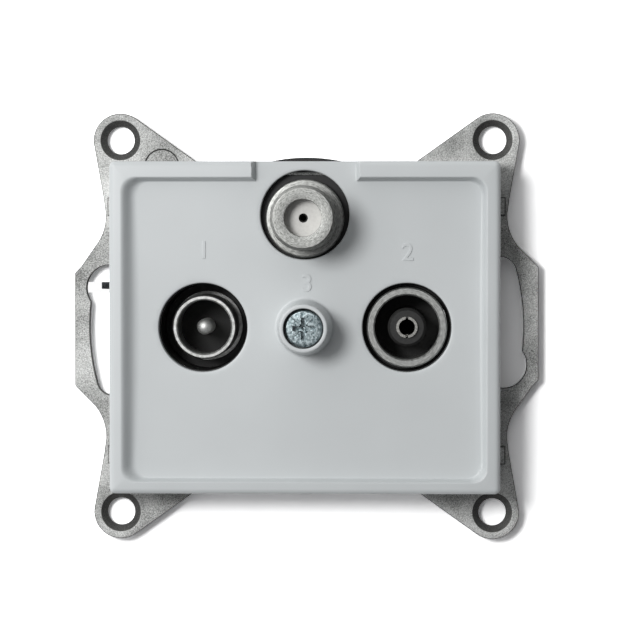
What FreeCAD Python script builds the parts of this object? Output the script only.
"""Flush antenna wall socket with TV, radio and satellite outlets.

Millimetres. X points right and Z up as the user sees it, the front faces -Y,
and the origin is the centre of the mounting frame's back plane, on the wall.
"""
import FreeCAD, Part
import math
import os

V = FreeCAD.Vector
FRONT = V(0, -1, 0)
BACK = V(0, 1, 0)

# Mounting frame, die-cast zinc
frame_t = 1.8
ear_pitch = 55.6
ear_hole_d = 4.1
ear_sink_d = 5.95
ear_nose_r = 4.0
ear_slope = 35.5
ear_side_share = 0.1
frame_bar_z = 24.0
ear_inner_x = 30.3
ear_inner_z = 19.0
waist_x = 30.0
waist_z = 16.7
waist_bulge = 0.35
wing_z = 8.9
wing_root_z = 12.0
wing_cut = 0.9
open_side_gap = 1.05
open_top_gap = 0.8
slot_circle_r = 30.0
slot_w = 4.9
wing_edge = 2.2
wing_step = 3.05
slot_end_angle = 15.3
lobe_r = 3.45
lobe_angle = -11.0
cast_mark_x = -21.6
cast_mark_z = 23.9
cast_mark_r = 2.55
cast_mark_depth = 0.15
lug_x = 29.2
lug_top_z = 17.9
lug_low_z = -19.2
lug_w = 0.9
lug_h = 2.6
lug_rise = 0.8

# Cover plate, moulded
cover_w = 57.6
cover_h = 49.0
cover_front = 9.8
skirt_gap = 2.8
cover_wall = 1.6
cover_edge_r = 0.8
panel_depth = 1.8
panel_left = 2.87
panel_right = 2.28
panel_top = 2.65
panel_low = 1.95
panel_side_run = 1.4
panel_end_run = 0.7
panel_bow = 0.9
panel_bow_least = 0.02
panel_corner_r = 2.2
notch_left = -7.5
notch_right = 7.9
notch_r = 0.9
port_hole_d = 13.15
port_x = 15.05
sat_hole_z = 16.6
sat_z = 16.1
tower_tip_d = 7.05
tower_base_d = 8.2
tower_h = 6.7
tower_foot_r = 0.35
tower_foot_share = 0.3
head_hole_d = 5.9
head_sunk = 1.0
screw_slack = 0.15

# Cover screw and its insert
screw_d = 3.0
screw_head_d = 5.5
screw_head_h = 1.9
screw_length = 15.0
cross_w = 0.75
cross_span = 3.2
cross_depth = 1.2
cross_tip = 0.3
tick_w = 0.25
tick_depth = 0.15
tick_count = 4
insert_d = 4.6
insert_length = 6.0
thread_fit = 0.05

# Connector carrier, black moulding
carrier_w = 51.0
carrier_h = 45.0
carrier_corner_r = 3.0
carrier_t = 2.4
spigot_gap = 0.2
cup_d = 14.6
cup_bore_d = 12.8
cup_front_gap = 0.15
seat_gap = 0.03
tv_cup_back = 5.4
cup_floor = 1.4
radio_floor_y = -4.0
sat_floor_y = -6.2
insert_boss_d = 8.0
fix_angle = 39.0
fix_edge = 3.0
fix_d = 2.4
fix_head_d = 4.4
fix_head_h = 1.3
fix_length = 9.0
fix_slack = 0.1

# Outlets
tv_d = 9.5
tv_foot_d = 10.4
tv_bore_d = 8.0
tv_tip_y = -5.2
tv_pin_d = 2.36
tv_pin_tip_y = -4.6
radio_d = 11.9
radio_bore_d = 9.55
radio_tip_y = -6.9
radio_core_d = 5.7
radio_core_tip_y = -6.1
contact_d = 3.15
contact_bore_d = 2.4
contact_bore_length = 8.5
contact_tip_y = -6.5
contact_slit = 0.4
contact_slit_length = 6.0
plug_base_y = 3.0
tail_d = 1.2
neck_d = 3.0
sat_d = 9.525
sat_tip_y = -17.0
sat_collar_d = 11.6
sat_collar_t = 1.5
sat_bore_d = 5.4
sat_bore_depth = 2.4
sat_barrel_over = 0.5
sat_barrel_d = 7.0
sat_nut_wall = 1.0
sat_nut_t = 2.0
sat_contact_recess = 0.8
sat_contact_d = 1.35
sat_contact_bore_d = 0.9
contact_fit = 0.02

# Rear base, black moulding behind the frame
base_seat = 1.85
base_rim = 2.0
base_floor_t = 1.4
base_post_d = 5.0
guard_share = 0.7
claw_lug_over = 0.3
post_over = 0.5
claw_side_gap = 0.3
claw_back_gap = 0.45
tube_gap = 0.15

# Shield housing and lid
shield_side_gap = 0.05
shield_top_gap = 0.1
shield_low_z = -21.0
shield_step_z = -6.0
shield_deep = 14.0
shield_shelf = 6.4
shield_wall = 1.3
shield_corner_r = 1.5
lid_t = 0.6
lid_rim = 2.0
lid_gap = 0.1
shield_screw_x = 8.0
shield_screw_z = 12.0
board_t = 1.6
board_lift = 1.0
board_gap = 0.3
board_ledge = 1.6
coil_r = 2.6
coil_wire_r = 1.0
coil_pitch = 9.0
coil_count = 3
coil_z = 7.0
chip_w = 3.2
chip_h = 1.6
chip_t = 1.4
chip_pitch = 6.0
chip_count = 5
chip_z = 1.7

# Cable clamp and core terminal
cable_d = 6.8
trough_over = 0.5
cable_sunk = 1.0
saddle_t = 1.0
saddle_w = 21.4
saddle_length = 6.0
saddle_z = -16.0
saddle_slack = 0.2
saddle_seat = 0.3
clamp_screw_x = 7.6
clamp_screw_d = 2.9
clamp_head_d = 5.0
clamp_head_h = 1.8
clamp_screw_length = 6.5
terminal_w = 5.0
terminal_h = 5.4
terminal_z = -11.5
terminal_pad = 0.6
terminal_corner_r = 0.5
pad_over = 0.6
pad_low_over = 0.4
bush_wall = 0.8
bush_over = 0.6
core_hole_d = 1.8
core_hole_depth = 3.99
core_screw_d = 2.5
core_head_d = 3.8
core_head_h = 1.2
core_head_gap = 0.3
core_tip_gap = 0.2

# Fixing claws, as the left one lies; the right one is turned half round
claw_screw_x = -25.2
claw_z = 10.0
claw_arm = 2.9
claw_pivot_y = 4.2
claw_t = 1.0
claw_h = 9.2
claw_reach = 6.0
claw_depth = 9.4
claw_tooth = 0.8
claw_tooth_length = 1.6
claw_tooth_count = 3
claw_slot_h = 3.0
claw_slot_share = 0.6
claw_vee_share = 0.3
claw_knuckle_r = 1.25
claw_pin_d = 1.5
claw_pin_gap = 0.05
claw_keep = 0.1
claw_screw_d = 2.4
claw_head_d = 5.0
claw_head_h = 1.7
claw_screw_length = 14.0
claw_screw_gap = 0.2
nut_d = 3.6
nut_h = 6.0
nut_gap = 0.25
left_claw_rest = 20.0
right_claw_rest = 0.0
claw_far_angle = 30.0

cover_back = -(frame_t + skirt_gap)
panel_y = -(cover_front - panel_depth)
panel_back_y = panel_y + cover_wall
carrier_front = -(frame_t + carrier_t)
base_back = tv_cup_back + base_floor_t
shelf_y = base_back + shield_shelf
shield_back = base_back + shield_deep
cable_y = shelf_y - cable_sunk + cable_d / 2
wing_x = slot_circle_r + slot_w / 2 + wing_edge
wing_root_x = wing_x - wing_step
frame_open_r = port_x + cup_d / 2 + open_side_gap
frame_open_z = sat_z + sat_barrel_d / 2 + open_top_gap
base_d = 2 * (frame_open_r + base_seat)
fix_r = frame_open_r - fix_edge
fix_x = fix_r * math.cos(math.radians(fix_angle))
fix_z = fix_r * math.sin(math.radians(fix_angle))
claw_zone_low = claw_z - claw_h / 2 - claw_side_gap
claw_zone_high = claw_z + claw_h / 2 + claw_side_gap
claw_zone_x = -(claw_screw_x + claw_arm + claw_knuckle_r + claw_back_gap)
shield_w = 2 * (port_x + neck_d / 2 + shield_side_gap + board_ledge + shield_wall)
shield_top_z = sat_z + neck_d / 2 + shield_top_gap + shield_wall
tv_floor_y = tv_cup_back - cup_floor
guard_t = base_rim * guard_share
parts = {}


def cyl(x, y0, z, d, length):
    """A round bar along +Y that starts at y0."""
    return Part.makeCylinder(d / 2, length, V(x, y0, z), BACK)


def block(x0, x1, y0, y1, z0, z1):
    return Part.makeBox(x1 - x0, y1 - y0, z1 - z0, V(x0, y0, z0))


def plate(wire, y0, y1):
    """The outline's face, drawn at y = 0, made a plate from y0 to y1."""
    face = Part.Face(wire)
    face.translate(V(0, y0, 0))
    return face.extrude(V(0, y1 - y0, 0))


def fused(shapes):
    return shapes[0].multiFuse(shapes[1:]).removeSplitter()


def rounded_box(x0, x1, y0, y1, z0, z1, r):
    """A box whose four edges along Y are rounded."""
    box = block(x0, x1, y0, y1, z0, z1)
    edges = [e for e in box.Edges if abs(e.Vertexes[0].Y - e.Vertexes[-1].Y) > 1e-6]
    return box.makeFillet(r, edges)


def turned(profile, x, z):
    """Turn a profile of (radius, y) points about the Y line through x, z."""
    points = [V(x + r, y, z) for r, y in profile]
    wire = Part.makePolygon(points + [points[0]])
    return Part.Face(wire).revolve(V(x, 0, z), BACK, 360)


def on_slot_circle(angle, radius=slot_circle_r):
    turn = math.radians(angle)
    return V(radius * math.cos(turn), 0, radius * math.sin(turn))


def slot_cutter():
    """The right bayonet slot: a curved slot that ends in a wider round."""
    inner = slot_circle_r - slot_w / 2
    outer = slot_circle_r + slot_w / 2
    middle = (slot_end_angle + lobe_angle) / 2
    path = [
        Part.Arc(on_slot_circle(lobe_angle, outer), on_slot_circle(middle, outer),
                 on_slot_circle(slot_end_angle, outer)).toShape(),
        Part.makeLine(on_slot_circle(slot_end_angle, outer), on_slot_circle(slot_end_angle, inner)),
        Part.Arc(on_slot_circle(slot_end_angle, inner), on_slot_circle(middle, inner),
                 on_slot_circle(lobe_angle, inner)).toShape(),
        Part.makeLine(on_slot_circle(lobe_angle, inner), on_slot_circle(lobe_angle, outer)),
    ]
    start = -2 * frame_t
    slot = plate(Part.Wire(path), start, -start)
    end = on_slot_circle(slot_end_angle)
    lobe = on_slot_circle(lobe_angle)
    rounds = [
        cyl(end.x, start, end.z, slot_w, -2 * start),
        cyl(lobe.x, start, lobe.z, 2 * lobe_r, -2 * start),
    ]
    return slot.multiFuse(rounds)


def ear_outline(sx, sz):
    """One ear, from the frame's bar out round its nose and in to the waist."""
    half = ear_pitch / 2
    slope = math.radians(ear_slope)
    top = V(half - ear_nose_r * math.sin(slope), 0, half + ear_nose_r * math.cos(slope))
    run = (top.z - frame_bar_z) / math.tan(slope)
    bar = V(top.x - run, 0, frame_bar_z)
    nose = V(half + ear_nose_r * math.sin(slope), 0, half + ear_nose_r * math.cos(slope))
    side = V(half + ear_nose_r, 0, half - ear_side_share * ear_nose_r)
    neck = V(ear_inner_x, 0, ear_inner_z)
    waist = V(waist_x, 0, waist_z)
    root = V(wing_root_x, 0, wing_root_z)
    between = V(waist_x + waist_bulge, 0, (waist_z + wing_root_z) / 2)
    flip = lambda p: V(p.x * sx, 0, p.z * sz)
    return [
        Part.makeLine(flip(bar), flip(top)),
        Part.Arc(flip(top), flip(nose), flip(side)).toShape(),
        Part.makeLine(flip(side), flip(neck)),
        Part.makeLine(flip(neck), flip(waist)),
        Part.Arc(flip(waist), flip(between), flip(root)).toShape(),
    ], flip(bar), flip(root)


def wing_outline(sx):
    """A wing's edge from its top root to its low root, one corner cut."""
    corner = wing_z - wing_cut
    if sx < 0:
        zs = [(wing_root_x, wing_root_z), (wing_x - wing_cut, wing_z), (wing_x, corner), (wing_x, -wing_z)]
    else:
        zs = [(wing_root_x, wing_root_z), (wing_x, wing_z), (wing_x, -corner), (wing_x - wing_cut, -wing_z)]
    zs.append((wing_root_x, -wing_root_z))
    points = [V(sx * x, 0, z) for x, z in zs]
    return [Part.makeLine(a, b) for a, b in zip(points, points[1:])]


def mounting_frame():
    edges = []
    ends = {}
    for sx in (-1, 1):
        for sz in (-1, 1):
            ear, bar, root = ear_outline(sx, sz)
            edges += ear
            ends[sx, sz] = bar
        edges += wing_outline(sx)
    for sz in (-1, 1):
        edges.append(Part.makeLine(ends[-1, sz], ends[1, sz]))
    wire = Part.Wire(Part.__sortEdges__(edges))
    frame = plate(wire, -frame_t, 0)
    opening = cyl(0, -2 * frame_t, 0, 2 * frame_open_r, 3 * frame_t)
    reach = 2 * frame_open_r
    band = block(-reach, reach, -2 * frame_t, 2 * frame_t, -frame_open_z, frame_open_z)
    cuts = [opening.common(band), slot_cutter()]
    other = slot_cutter()
    other.rotate(V(0, 0, 0), V(0, 1, 0), 180)
    cuts.append(other)
    half = ear_pitch / 2
    sink = (ear_sink_d - ear_hole_d) / 2
    for sx in (-1, 1):
        for sz in (-1, 1):
            cuts.append(cyl(sx * half, -2 * frame_t, sz * half, ear_hole_d, 3 * frame_t))
            cuts.append(Part.makeCone(ear_sink_d / 2, ear_hole_d / 2, sink,
                                      V(sx * half, -frame_t, sz * half), BACK))
    for side in (-1, 1):
        cuts.append(cyl(side * -claw_screw_x, -2 * frame_t, side * -claw_z,
                        claw_screw_d + 2 * claw_screw_gap, 3 * frame_t))
    cuts.append(cyl(cast_mark_x, -frame_t, cast_mark_z, 2 * cast_mark_r, cast_mark_depth))
    frame = frame.cut(cuts)
    lugs = []
    for sx in (-1, 1):
        for z in (lug_top_z, lug_low_z):
            x = sx * lug_x
            lugs.append(block(x - lug_w / 2, x + lug_w / 2, -frame_t - lug_rise, -frame_t / 2,
                              z - lug_h / 2, z + lug_h / 2))
    return fused([frame] + lugs)


def panel_outline(step):
    """The recess's outline, from the rim (step 0) down to the floor (step 1)."""
    side = (step - 0.5) * panel_side_run
    end = (step - 0.5) * panel_end_run
    left = -cover_w / 2 + panel_left + side
    right = cover_w / 2 - panel_right - side
    top = cover_h / 2 - panel_top - end
    low = -cover_h / 2 + panel_low + end
    r = panel_corner_r
    bow = panel_bow * step + panel_bow_least
    diag = r * (1 - math.sqrt(0.5))
    mid = (top + low) / 2
    edges = [
        Part.Arc(V(left, 0, low + r), V(left + bow, 0, mid), V(left, 0, top - r)),
        Part.Arc(V(left, 0, top - r), V(left + diag, 0, top - diag), V(left + r, 0, top)),
        Part.LineSegment(V(left + r, 0, top), V(right - r, 0, top)),
        Part.Arc(V(right - r, 0, top), V(right - diag, 0, top - diag), V(right, 0, top - r)),
        Part.Arc(V(right, 0, top - r), V(right - bow, 0, mid), V(right, 0, low + r)),
        Part.Arc(V(right, 0, low + r), V(right - diag, 0, low + diag), V(right - r, 0, low)),
        Part.LineSegment(V(right - r, 0, low), V(left + r, 0, low)),
        Part.Arc(V(left + r, 0, low), V(left + diag, 0, low + diag), V(left, 0, low + r)),
    ]
    wire = Part.Wire([edge.toShape() for edge in edges])
    sunk = panel_depth * step * step * (3 - 2 * step)
    wire.translate(V(0, sunk - cover_front, 0))
    return wire


def panel_recess():
    """The recess as a solid: a soft S-shaped step all round, open at the front."""
    steps = 4
    wires = [panel_outline(i / steps) for i in range(steps + 1)]
    bowl = Part.makeLoft(wires, True, False)
    mouth = Part.Face(wires[0]).extrude(V(0, -panel_depth, 0))
    return [bowl, mouth]


def cover_plate():
    half_w = cover_w / 2
    half_h = cover_h / 2
    body = rounded_box(-half_w, half_w, -cover_front, cover_back, -half_h, half_h, cover_edge_r)
    rim = [e for e in body.Edges if max(v.Y for v in e.Vertexes) < -cover_front + 1e-6]
    body = body.makeFillet(cover_edge_r, rim)
    hollow = rounded_box(-half_w + cover_wall, half_w - cover_wall, panel_back_y, cover_back + 1,
                         -half_h + cover_wall, half_h - cover_wall, cover_edge_r)
    notch = rounded_box(notch_left, notch_right, -2 * cover_front, panel_y,
                        0, 2 * half_h, notch_r)
    body = body.cut([hollow, notch] + panel_recess())
    tip = tower_tip_d / 2
    base = tower_base_d / 2
    foot = tower_foot_r
    curl = foot * tower_foot_share
    tower = turned([(0, panel_y - tower_h), (tip, panel_y - tower_h), (base, panel_y - foot),
                    (base + curl, panel_y - curl), (base + foot, panel_y),
                    (base + foot, panel_back_y), (0, panel_back_y)], 0, 0)
    body = fused([body, tower])
    seat = panel_y - tower_h + head_sunk + screw_head_h
    holes = [
        cyl(0, -2 * cover_front, 0, head_hole_d, seat + 2 * cover_front),
        cyl(0, -2 * cover_front, 0, screw_d + 2 * screw_slack, 2 * cover_front),
    ]
    for x, z in ((-port_x, 0), (port_x, 0), (0, sat_hole_z)):
        holes.append(cyl(x, -2 * cover_front, z, port_hole_d, 2 * cover_front))
    return body.cut(holes)


def cover_screw():
    head_y = panel_y - tower_h + head_sunk
    seat = head_y + screw_head_h
    head = cyl(0, head_y, 0, screw_head_d, screw_head_h)
    rim = [e for e in head.Edges if abs(e.CenterOfMass.y - head_y) < 1e-6 and e.Closed]
    head = head.makeFillet(screw_head_h / 5, rim)
    shank = cyl(0, seat, 0, screw_d, screw_length)
    half = cross_span / 2
    wing = cross_w / 2
    cross = [
        block(-half, half, head_y - 1, head_y + cross_depth, -wing, wing),
        block(-wing, wing, head_y - 1, head_y + cross_depth, -half, half),
        Part.makeCone(cross_w, cross_w / 4, cross_depth + cross_tip, V(0, head_y, 0), BACK),
    ]
    for i in range(tick_count):
        tick = block(cross_w, screw_head_d, head_y - 1, head_y + tick_depth, -tick_w / 2, tick_w / 2)
        tick.rotate(V(0, 0, 0), FRONT, (i + 0.5) * 360 / tick_count)
        cross.append(tick)
    return fused([head, shank]).cut(cross)


def screw_insert():
    front = panel_back_y + cup_front_gap
    tube = cyl(0, front, 0, insert_d, insert_length)
    return tube.cut(cyl(0, front - 1, 0, screw_d + 2 * thread_fit, insert_length + 2))


def fixing_points():
    return [(sx * fix_x, sz * fix_z) for sx in (-1, 1) for sz in (-1, 1)]


def connector_carrier():
    front = panel_back_y + cup_front_gap
    half_w = carrier_w / 2
    half_h = carrier_h / 2
    body = rounded_box(-half_w, half_w, carrier_front, -frame_t, -half_h, half_h, carrier_corner_r)
    spigot = cyl(0, -frame_t, 0, 2 * (frame_open_r - spigot_gap), frame_t)
    tall = frame_open_z - spigot_gap
    spigot = spigot.common(block(-half_w, half_w, -frame_t, 0, -tall, tall))
    sat_boss = cyl(0, sat_floor_y, sat_hole_z, cup_d, -frame_t - sat_floor_y)
    sat_boss = sat_boss.common(block(-half_w, half_w, sat_floor_y, 0, 0, half_h))
    solids = [
        body,
        spigot,
        sat_boss,
        cyl(-port_x, front, 0, cup_d, tv_cup_back - front),
        cyl(port_x, front, 0, cup_d, -front),
        cyl(0, front, 0, insert_boss_d, tv_cup_back - front),
    ]
    reach = tv_cup_back + 2
    cuts = [
        cyl(-port_x, front, 0, cup_bore_d, tv_floor_y - front),
        cyl(-port_x, front, 0, tv_foot_d + 2 * seat_gap, reach - front),
        cyl(port_x, front, 0, cup_bore_d, radio_floor_y - front),
        cyl(port_x, front, 0, radio_d + 2 * seat_gap, reach - front),
        cyl(0, 2 * sat_floor_y, sat_z, sat_barrel_d + 2 * seat_gap, reach - 2 * sat_floor_y),
        cyl(0, front, 0, insert_d, insert_length),
        cyl(0, front, 0, screw_d + 4 * screw_slack, reach - front),
    ]
    for x, z in fixing_points():
        cuts.append(cyl(x, front, z, fix_d + 2 * fix_slack, reach - front))
    for side in (-1, 1):
        cuts.append(cyl(side * -claw_screw_x, 2 * carrier_front, side * -claw_z,
                        claw_head_d + 4 * claw_screw_gap, -2 * carrier_front - frame_t))
        cuts.append(cyl(side * -claw_screw_x, 2 * carrier_front, side * -claw_z,
                        claw_screw_d + 2 * claw_screw_gap, -2 * carrier_front + 1))
    return fused(solids).cut(cuts)


def pan_screw(x, y, z, head_d, head_h, shank_d, length, way=1):
    """A pan-head screw whose head's underside is at y and whose shank runs along way."""
    start = y - head_h if way > 0 else y
    head = cyl(x, start, z, head_d, head_h)
    top_y = y - way * head_h
    rim = [e for e in head.Edges if e.Closed and abs(e.CenterOfMass.y - top_y) < 1e-6]
    head = head.makeChamfer(head_h / 4, rim)
    shank = cyl(x, y if way > 0 else y - length, z, shank_d, length)
    slot = block(x - head_d, x + head_d, min(top_y, top_y + way * head_h / 3),
                 max(top_y, top_y + way * head_h / 3), z - head_d / 12, z + head_d / 12)
    return fused([head, shank]).cut(slot)


def carrier_screws():
    screws = [pan_screw(x, carrier_front, z, fix_head_d, fix_head_h, fix_d, fix_length)
              for x, z in fixing_points()]
    return Part.makeCompound(screws)


def tv_sleeve():
    tube = cyl(-port_x, tv_tip_y, 0, tv_d, tv_floor_y - tv_tip_y)
    foot = cyl(-port_x, tv_floor_y, 0, tv_foot_d, base_back - tv_floor_y)
    tube = fused([tube, foot]).cut(cyl(-port_x, tv_tip_y - 1, 0, tv_bore_d, base_back - tv_tip_y + 2))
    lip = [e for e in tube.Edges if e.Closed and abs(e.CenterOfMass.y - tv_tip_y) < 1e-6]
    return tube.makeChamfer((tv_d - tv_bore_d) / 8, lip)


def tail_y():
    """Where the contacts' tails end, just through the board."""
    return base_back + shield_wall + board_lift + board_t + board_gap


def tv_pin():
    r = tv_pin_d / 2
    shoulder = tv_pin_tip_y + r
    dome = Part.makeSphere(r, V(-port_x, shoulder, 0))
    pin = cyl(-port_x, shoulder, 0, tv_pin_d, plug_base_y + 1 - shoulder)
    tail = cyl(-port_x, plug_base_y + 1, 0, tail_d, tail_y() - plug_base_y - 1)
    return fused([dome, pin, tail])


def plug_base(x, bore_d, core_d, core_tip):
    """A moulded insulator: a disc in the sleeve, a neck into the housing, a core round the contact."""
    solids = [
        cyl(x, plug_base_y, 0, bore_d, base_back - plug_base_y),
        cyl(x, base_back, 0, neck_d, shield_wall),
    ]
    if core_tip < plug_base_y:
        solids.append(cyl(x, core_tip, 0, core_d, plug_base_y - core_tip))
    return fused(solids)


def tv_insulator():
    return plug_base(-port_x, tv_bore_d, tv_bore_d, plug_base_y).cut(tv_pin())


def radio_sleeve():
    tube = cyl(port_x, radio_tip_y, 0, radio_d, base_back - radio_tip_y)
    tube = tube.cut(cyl(port_x, radio_tip_y - 1, 0, radio_bore_d, base_back - radio_tip_y + 2))
    lip = [e for e in tube.Edges if e.Closed and abs(e.CenterOfMass.y - radio_tip_y) < 1e-6]
    return tube.makeChamfer((radio_d - radio_bore_d) / 12, lip)


def radio_contact_blank():
    end = contact_tip_y + contact_bore_length + 1
    return fused([
        cyl(port_x, contact_tip_y, 0, contact_d, end - contact_tip_y),
        cyl(port_x, end, 0, tail_d, tail_y() - end),
    ])


def radio_contact():
    slit = block(port_x - contact_slit / 2, port_x + contact_slit / 2, contact_tip_y - 1,
                 contact_tip_y + contact_slit_length, -contact_d, contact_d)
    bore = cyl(port_x, contact_tip_y - 1, 0, contact_bore_d, contact_bore_length + 1)
    return radio_contact_blank().cut([slit, bore])


def radio_insulator():
    base = plug_base(port_x, radio_bore_d, radio_core_d, radio_core_tip_y)
    lip = [e for e in base.Edges if e.Closed and abs(e.CenterOfMass.y - radio_core_tip_y) < 1e-6]
    return base.makeChamfer(radio_core_d / 16, lip).cut(radio_contact_blank())


def sat_body():
    collar_back = sat_floor_y
    thread = cyl(0, sat_tip_y, sat_z, sat_d, collar_back - sat_tip_y)
    lip = [e for e in thread.Edges if e.Closed and abs(e.CenterOfMass.y - sat_tip_y) < 1e-6]
    thread = thread.makeChamfer(sat_d / 24, lip)
    collar = cyl(0, collar_back - sat_collar_t, sat_z, sat_collar_d, sat_collar_t)
    rim = [e for e in collar.Edges if e.Closed and e.CenterOfMass.y < collar_back - sat_collar_t / 2]
    collar = collar.makeFillet(sat_collar_t / 4, rim)
    barrel = cyl(0, collar_back, sat_z, sat_barrel_d, sat_nut_t + sat_barrel_over - collar_back)
    return fused([thread, collar, barrel]).cut(cyl(0, sat_tip_y - 1, sat_z, sat_bore_d, 4 * cover_front))


def sat_insulator():
    front = sat_tip_y + sat_bore_depth
    rod = cyl(0, front, sat_z, sat_bore_d, sat_nut_t + sat_barrel_over - front)
    return rod.cut(cyl(0, front - 1, sat_z, sat_contact_d, 4 * cover_front))


def sat_contact():
    front = sat_tip_y + sat_bore_depth + sat_contact_recess
    rod = cyl(0, front, sat_z, sat_contact_d - 2 * contact_fit, tail_y() - front)
    return rod.cut(cyl(0, front - 1, sat_z, sat_contact_bore_d, contact_bore_length + 1))


def sat_nut():
    across = (sat_barrel_d + 2 * sat_nut_wall) / math.sqrt(3)
    points = [V(across * math.cos(math.radians(60 * i)), 0, sat_z + across * math.sin(math.radians(60 * i)))
              for i in range(7)]
    nut = plate(Part.makePolygon(points), 0, sat_nut_t)
    return nut.cut(cyl(0, -1, sat_z, sat_barrel_d, sat_nut_t + 2))


def half_turned(shape):
    other = shape.copy()
    other.rotate(V(0, 0, 0), V(0, 1, 0), 180)
    return other


def claw_pivot_x():
    return claw_screw_x + claw_arm


def rear_base():
    """A dish behind the frame, cut away at both claws, with posts for the screws."""
    r = base_d / 2
    dish = cyl(0, 0, 0, base_d, base_back)
    dish = dish.cut(cyl(0, -1, 0, base_d - 2 * base_rim, tv_cup_back + 1))
    posts = [cyl(x, 0, z, base_post_d, tv_cup_back + post_over) for x, z in fixing_points()]
    wall = guard_t
    inner_x = -claw_zone_x
    guard = block(inner_x, inner_x + wall, 0, tv_cup_back + post_over,
                  claw_zone_low - wall, claw_zone_high + wall)
    guard = guard.common(cyl(0, 0, 0, base_d, base_back))
    pivot_x = claw_pivot_x()
    lug_front = claw_pivot_y - claw_knuckle_r - claw_lug_over
    lug_out = pivot_x - claw_knuckle_r
    low_lug = block(lug_out, inner_x, lug_front, base_back, claw_zone_low - wall, claw_zone_low)
    high_lug = block(lug_out, inner_x + 2 * wall, lug_front, base_back,
                     claw_zone_high, claw_zone_high + wall)
    zone = block(-r - 1, inner_x, -1, base_back + 1, claw_zone_low, claw_zone_high)
    pin_hole = Part.makeCylinder(claw_pin_d / 2, claw_zone_high - claw_zone_low + 2 * wall + 2,
                                 V(pivot_x, claw_pivot_y, claw_zone_low - wall - 1), V(0, 0, 1))
    side = [guard, low_lug, high_lug]
    body = fused([dish] + posts + side + [half_turned(s) for s in side])
    cuts = [zone, half_turned(zone), pin_hole, half_turned(pin_hole)]
    cuts.append(cyl(-port_x, -1, 0, cup_d + 4 * tube_gap, tv_cup_back + 1))
    cuts.append(cyl(-port_x, 0, 0, tv_foot_d + 2 * tube_gap, 2 * base_back))
    cuts.append(cyl(port_x, 0, 0, radio_d + 2 * tube_gap, 2 * base_back))
    cuts.append(cyl(0, 0, sat_z, neck_d, 2 * base_back))
    for x, z in fixing_points():
        cuts.append(cyl(x, -1, z, fix_d + 2 * thread_fit, tv_cup_back + 1))
    for x in (-shield_screw_x, shield_screw_x):
        cuts.append(cyl(x, -1, -shield_screw_z, fix_d + 2 * fix_slack, 2 * base_back))
    return body.cut(cuts)


def shield_housing():
    """A cast box with a low shelf for the cable clamp; its back is open for the lid."""
    half = shield_w / 2
    wall = shield_wall
    tall = rounded_box(-half, half, base_back, shield_back, shield_step_z, shield_top_z, shield_corner_r)
    shelf = rounded_box(-half, half, base_back, shelf_y,
                        shield_low_z, shield_step_z + 2 * wall, shield_corner_r)
    body = fused([tall, shelf])
    room = rounded_box(-half + wall, half - wall, base_back + wall, shield_back + 1,
                       shield_step_z + wall, shield_top_z - wall, shield_corner_r / 2)
    body = body.cut(room)
    rails = []
    for side in (-1, 1):
        outer = side * (half - wall)
        inner = side * (half - wall - board_ledge)
        rails.append(block(min(outer, inner), max(outer, inner), base_back + wall / 2,
                           base_back + wall + board_lift, shield_step_z + wall / 2, shield_top_z - wall / 2))
    body = fused([body] + rails)
    trough = Part.makeCylinder(cable_d / 2, terminal_z - shield_low_z + trough_over,
                               V(0, cable_y, shield_low_z - 1), V(0, 0, 1))
    cuts = [trough]
    for x, z in ((-port_x, 0), (port_x, 0), (0, sat_z)):
        cuts.append(cyl(x, 0, z, neck_d, base_back + 2 * wall))
    for side in (-1, 1):
        cuts.append(cyl(side * shield_screw_x, 0, -shield_screw_z, fix_d + 2 * thread_fit,
                        base_back + 4 * wall))
        cuts.append(cyl(side * clamp_screw_x, shelf_y - clamp_screw_length, saddle_z,
                        clamp_screw_d + 2 * thread_fit, clamp_screw_length + 1))
        outer = side * (half - wall)
        inner = side * (clamp_screw_x + clamp_screw_d)
        cuts.append(block(min(outer, inner), max(outer, inner), base_back - 1, shelf_y - wall,
                          shield_low_z + wall, shield_step_z - wall))
    cuts.append(block(-tail_d - bush_wall, tail_d + bush_wall, shelf_y + terminal_pad / 2, cable_y + tail_d,
                      shield_step_z - 1, shield_step_z + wall + 1))
    return body.cut(cuts)


def rear_lid():
    half = shield_w / 2
    inset = shield_wall + lid_gap
    lid = rounded_box(-half, half, shield_back, shield_back + lid_t,
                      shield_step_z, shield_top_z, shield_corner_r)
    tray = rounded_box(-half + inset, half - inset, shield_back - lid_rim, shield_back,
                       shield_step_z + inset, shield_top_z - inset, shield_corner_r / 2)
    inner = inset + lid_t
    hollow = block(-half + inner, half - inner, shield_back - lid_rim - 1, shield_back,
                   shield_step_z + inner, shield_top_z - inner)
    return fused([lid, tray]).cut(hollow)


def board_front():
    return base_back + shield_wall + board_lift


def circuit_board():
    edge = shield_wall + board_gap
    half = shield_w / 2 - edge
    front = board_front()
    board = block(-half, half, front, front + board_t, shield_step_z + edge, shield_top_z - edge)
    holes = [cyl(x, front - 1, 0, tail_d + 2 * board_gap / 3, 2 * board_t + 2) for x in (-port_x, port_x)]
    holes.append(cyl(0, front - 1, sat_z, sat_contact_d + 2 * board_gap / 3, 2 * board_t + 2))
    return board.cut(holes)


def board_coils():
    """Three ring cores lying on the board's back."""
    back = board_front() + board_t
    coils = []
    for i in range(coil_count):
        x = (i - (coil_count - 1) / 2) * coil_pitch
        core = cyl(x, back, coil_z, 2 * (coil_r + coil_wire_r), 2 * coil_wire_r)
        coils.append(core.cut(cyl(x, back - 1, coil_z, 2 * (coil_r - coil_wire_r), 4 * coil_wire_r)))
    return Part.makeCompound(coils)


def board_capacitors():
    back = board_front() + board_t
    chips = []
    for i in range(chip_count):
        x = (i - (chip_count - 1) / 2) * chip_pitch
        chips.append(block(x - chip_w / 2, x + chip_w / 2, back, back + chip_t,
                           chip_z - chip_h / 2, chip_z + chip_h / 2))
    return Part.makeCompound(chips)


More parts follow.
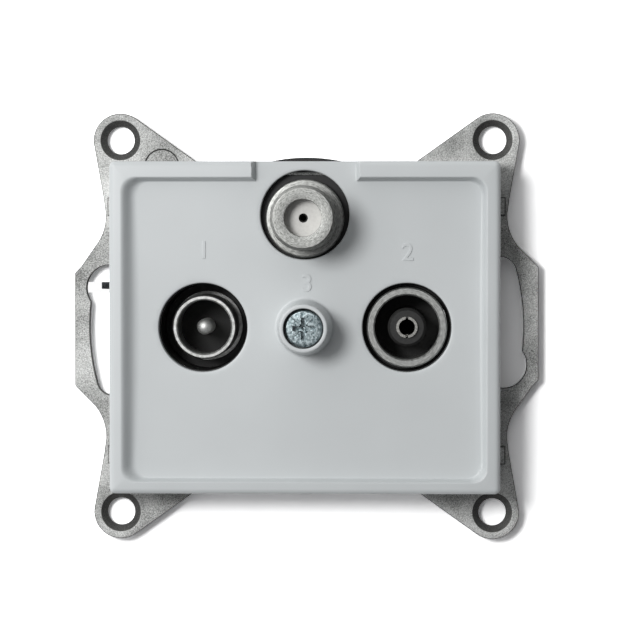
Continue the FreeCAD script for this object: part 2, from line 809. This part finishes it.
def terminal_insulator():
    """The pad under the core terminal and the bush that carries its tail through the wall."""
    half = terminal_w / 2 + pad_over
    pad = block(-half, half, shelf_y, shelf_y + terminal_pad, terminal_z - pad_low_over, shield_step_z)
    half = tail_d + bush_wall
    bush = block(-half, half, shelf_y + terminal_pad / 2, cable_y + tail_d,
                 shield_step_z - terminal_pad, shield_step_z + shield_wall + bush_over)
    slot = block(-tail_d / 2, tail_d / 2, cable_y - tail_d / 2, cable_y + tail_d / 2,
                 shield_step_z - 2, shield_step_z + shield_wall + 2)
    return fused([pad, bush]).cut(slot)


def core_terminal():
    front = shelf_y + terminal_pad
    back = front + terminal_h
    body = rounded_box(-terminal_w / 2, terminal_w / 2, front, back,
                       terminal_z, shield_step_z - terminal_pad, terminal_corner_r)
    inside_z = shield_step_z + shield_wall + 2
    tail = block(-tail_d / 2, tail_d / 2, cable_y - tail_d / 2, cable_y + tail_d / 2,
                 shield_step_z - 2 * terminal_pad, inside_z)
    foot = block(-tail_d / 2, tail_d / 2, board_front() + board_t, cable_y, inside_z - tail_d, inside_z)
    hole = Part.makeCylinder(core_hole_d / 2, core_hole_depth + 1, V(0, cable_y, terminal_z - 1), V(0, 0, 1))
    screw_hole = cyl(0, cable_y, core_screw_z(), core_screw_d + 2 * thread_fit, terminal_h)
    return fused([body, tail, foot]).cut([hole, screw_hole])


def core_screw_z():
    return (terminal_z + shield_step_z - terminal_pad) / 2


def core_screw():
    under = shelf_y + terminal_pad + terminal_h + core_head_gap
    length = under - cable_y - core_hole_d / 2 - core_tip_gap
    return pan_screw(0, under, core_screw_z(), core_head_d, core_head_h, core_screw_d, length, -1)


def clamp_saddle():
    """A strap pressed to an arch over the cable, with a flat foot each side."""
    inner = cable_d / 2 + saddle_slack
    outer = inner + saddle_t
    foot_y = shelf_y + saddle_seat
    half = saddle_w / 2
    z0 = saddle_z - saddle_length / 2
    arch = Part.makeCylinder(outer, saddle_length, V(0, cable_y, z0), V(0, 0, 1))
    legs = block(-outer, outer, foot_y, cable_y, z0, z0 + saddle_length)
    feet = block(-half, half, foot_y, foot_y + saddle_t, z0, z0 + saddle_length)
    below = block(-half, half, foot_y - 2 * outer, foot_y, z0 - 1, z0 + saddle_length + 1)
    gap = Part.makeCylinder(inner, saddle_length + 2, V(0, cable_y, z0 - 1), V(0, 0, 1))
    mouth = block(-inner, inner, foot_y - 1, cable_y, z0 - 1, z0 + saddle_length + 1)
    holes = [cyl(side * clamp_screw_x, foot_y - 1, saddle_z, clamp_screw_d + 2 * saddle_slack,
                 2 * saddle_t + 2) for side in (-1, 1)]
    return fused([arch, legs, feet]).cut([below, gap, mouth] + holes)


def clamp_screw(side):
    under = shelf_y + saddle_seat + saddle_t
    return pan_screw(side * clamp_screw_x, under, saddle_z, clamp_head_d, clamp_head_h,
                     clamp_screw_d, clamp_screw_length, -1)


def shield_screws():
    screws = [pan_screw(x, tv_cup_back, -shield_screw_z, fix_head_d, fix_head_h, fix_d, fix_length / 2)
              for x in (-shield_screw_x, shield_screw_x)]
    return Part.makeCompound(screws)


def claw_shape():
    """The left claw before it is swung: a tab with the screw slot, a side plate, a toothed end."""
    px = claw_pivot_x()
    py = claw_pivot_y
    z0 = claw_z - claw_h / 2
    z1 = claw_z + claw_h / 2
    half = claw_t / 2
    out = px - claw_reach
    tab = block(out, px, py - half, py + half, z0, z1)
    side = block(out, out + claw_t, py - half, py + claw_depth, z0, z1)
    end = py + claw_depth
    root = end - claw_tooth_length
    points = [V(out + claw_t / 2, root, z0), V(out, root, z0), V(out - claw_tooth, end, z0),
              V(out + claw_t / 2, end, z0)]
    tooth = Part.Face(Part.makePolygon(points + [points[0]])).extrude(V(0, 0, z1 - z0))
    knuckle = Part.makeCylinder(claw_knuckle_r, claw_h, V(px, py, z0), V(0, 0, 1))
    body = fused([tab, side, tooth, knuckle])
    slot_end = out + claw_t * claw_slot_share
    slot = block(slot_end, px + 2 * claw_knuckle_r, py - 2 * claw_knuckle_r, py + 2 * claw_knuckle_r,
                 claw_z - claw_slot_h / 2, claw_z + claw_slot_h / 2)
    keep = block(px - claw_knuckle_r - claw_keep, px + claw_knuckle_r + 1, py - 2, py + 2, z0, z1)
    slot = slot.cut(keep)
    hub = block(px - claw_knuckle_r - claw_keep, px + 2, py - 2, py + 2,
                claw_z - claw_slot_h / 2, claw_z + claw_slot_h / 2)
    pin_room = Part.makeCylinder(claw_pin_d / 2 + claw_pin_gap, claw_h + 2, V(px, py, z0 - 1), V(0, 0, 1))
    cuts = [slot, hub, pin_room]
    pitch = claw_h / claw_tooth_count
    for i in range(1, claw_tooth_count):
        z = z0 + i * pitch
        vee = [V(out - 2 * claw_tooth, end - 2, z - pitch / 4),
               V(out - 2 * claw_tooth, end - 2, z + pitch / 4),
               V(out + claw_t * claw_vee_share, end - 2, z)]
        cuts.append(Part.Face(Part.makePolygon(vee + [vee[0]])).extrude(V(0, 3, 0)))
    return body.cut(cuts)


def swung(shape, angle):
    """The left claw swung outward about its pin."""
    turned_shape = shape.copy()
    turned_shape.rotate(V(claw_pivot_x(), claw_pivot_y, 0), V(0, 0, 1), angle)
    return turned_shape


def nut_y(angle):
    """Where the barrel nut's axis lies when the claw stands at this angle: a straight-line travel."""
    reach = claw_t / 2 + nut_d / 2 + nut_gap
    far = math.radians(claw_far_angle)
    end = (reach - claw_arm * math.sin(far)) / math.cos(far)
    return claw_pivot_y + reach + (end - reach) * angle / claw_far_angle


def claw_nut(angle):
    y = nut_y(angle)
    barrel = Part.makeCylinder(nut_d / 2, nut_h, V(claw_screw_x, y, claw_z - nut_h / 2), V(0, 0, 1))
    return barrel.cut(cyl(claw_screw_x, y - nut_d, claw_z, claw_screw_d + 2 * thread_fit, 2 * nut_d))


def claw_screw():
    return pan_screw(claw_screw_x, -frame_t, claw_z, claw_head_d, claw_head_h,
                     claw_screw_d, claw_screw_length)


def claw_pin():
    wall = guard_t
    return Part.makeCylinder(claw_pin_d / 2, claw_zone_high - claw_zone_low + 2 * wall,
                             V(claw_pivot_x(), claw_pivot_y, claw_zone_low - wall), V(0, 0, 1))


def build():
    parts["mounting_frame"] = mounting_frame()
    parts["cover_plate"] = cover_plate()
    parts["cover_screw"] = cover_screw()
    parts["screw_insert"] = screw_insert()
    parts["connector_carrier"] = connector_carrier()
    parts["carrier_screws"] = carrier_screws()
    parts["tv_sleeve"] = tv_sleeve()
    parts["tv_pin"] = tv_pin()
    parts["tv_insulator"] = tv_insulator()
    parts["radio_sleeve"] = radio_sleeve()
    parts["radio_insulator"] = radio_insulator()
    parts["radio_contact"] = radio_contact()
    parts["sat_body"] = sat_body()
    parts["sat_insulator"] = sat_insulator()
    parts["sat_contact"] = sat_contact()
    parts["sat_nut"] = sat_nut()
    parts["rear_base"] = rear_base()
    parts["shield_housing"] = shield_housing()
    parts["shield_screws"] = shield_screws()
    parts["rear_lid"] = rear_lid()
    parts["circuit_board"] = circuit_board()
    parts["board_coils"] = board_coils()
    parts["board_capacitors"] = board_capacitors()
    parts["terminal_insulator"] = terminal_insulator()
    parts["core_terminal"] = core_terminal()
    parts["core_screw"] = core_screw()
    parts["clamp_saddle"] = clamp_saddle()
    parts["clamp_screw_left"] = clamp_screw(-1)
    parts["clamp_screw_right"] = clamp_screw(1)
    parts["claw_left"] = swung(claw_shape(), left_claw_rest)
    parts["claw_right"] = half_turned(swung(claw_shape(), right_claw_rest))
    parts["claw_nut_left"] = claw_nut(left_claw_rest)
    parts["claw_nut_right"] = half_turned(claw_nut(right_claw_rest))
    parts["claw_screw_left"] = claw_screw()
    parts["claw_screw_right"] = half_turned(claw_screw())
    parts["claw_pin_left"] = claw_pin()
    parts["claw_pin_right"] = half_turned(claw_pin())


def export():
    os.makedirs("parts", exist_ok=True)
    for name, shape in parts.items():
        shape.exportStep(os.path.join("parts", name + ".step"))
        print(name, len(shape.Solids), shape.isValid(), round(shape.Volume, 1))


build()
export()
